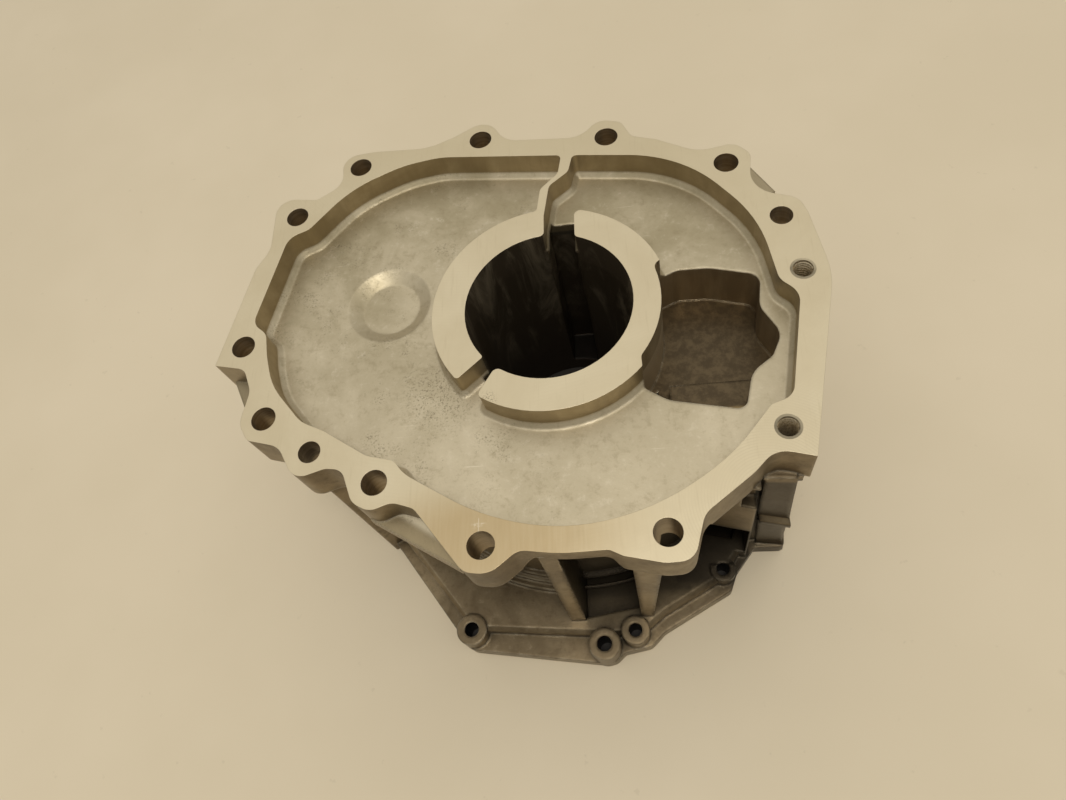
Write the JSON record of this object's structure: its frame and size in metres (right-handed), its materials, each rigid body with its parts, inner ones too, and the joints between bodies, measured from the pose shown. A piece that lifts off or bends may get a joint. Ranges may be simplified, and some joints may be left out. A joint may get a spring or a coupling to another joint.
{
  "type": "gearbox housing",
  "caption": "Open die-cast gearbox half housing: lobed machined joint flange around a shallow tray, a ringed main bore, a deep side pocket and a stepped screw foot.",
  "frame": {"origin": "on the axis of the main bore, at the machined joint face", "axes": "+Z along the main bore, out of the joint face; +X to the right of the joint face as pictured and +Y to its far side; the foot is at z = -100 mm"},
  "size_m": [0.2195, 0.1985, 0.1],
  "materials": {
    "cast_aluminium": "satin"
  },
  "bodies": {
    "root": {"housing_casting": "cast_aluminium"}
  },
  "joints": []
}
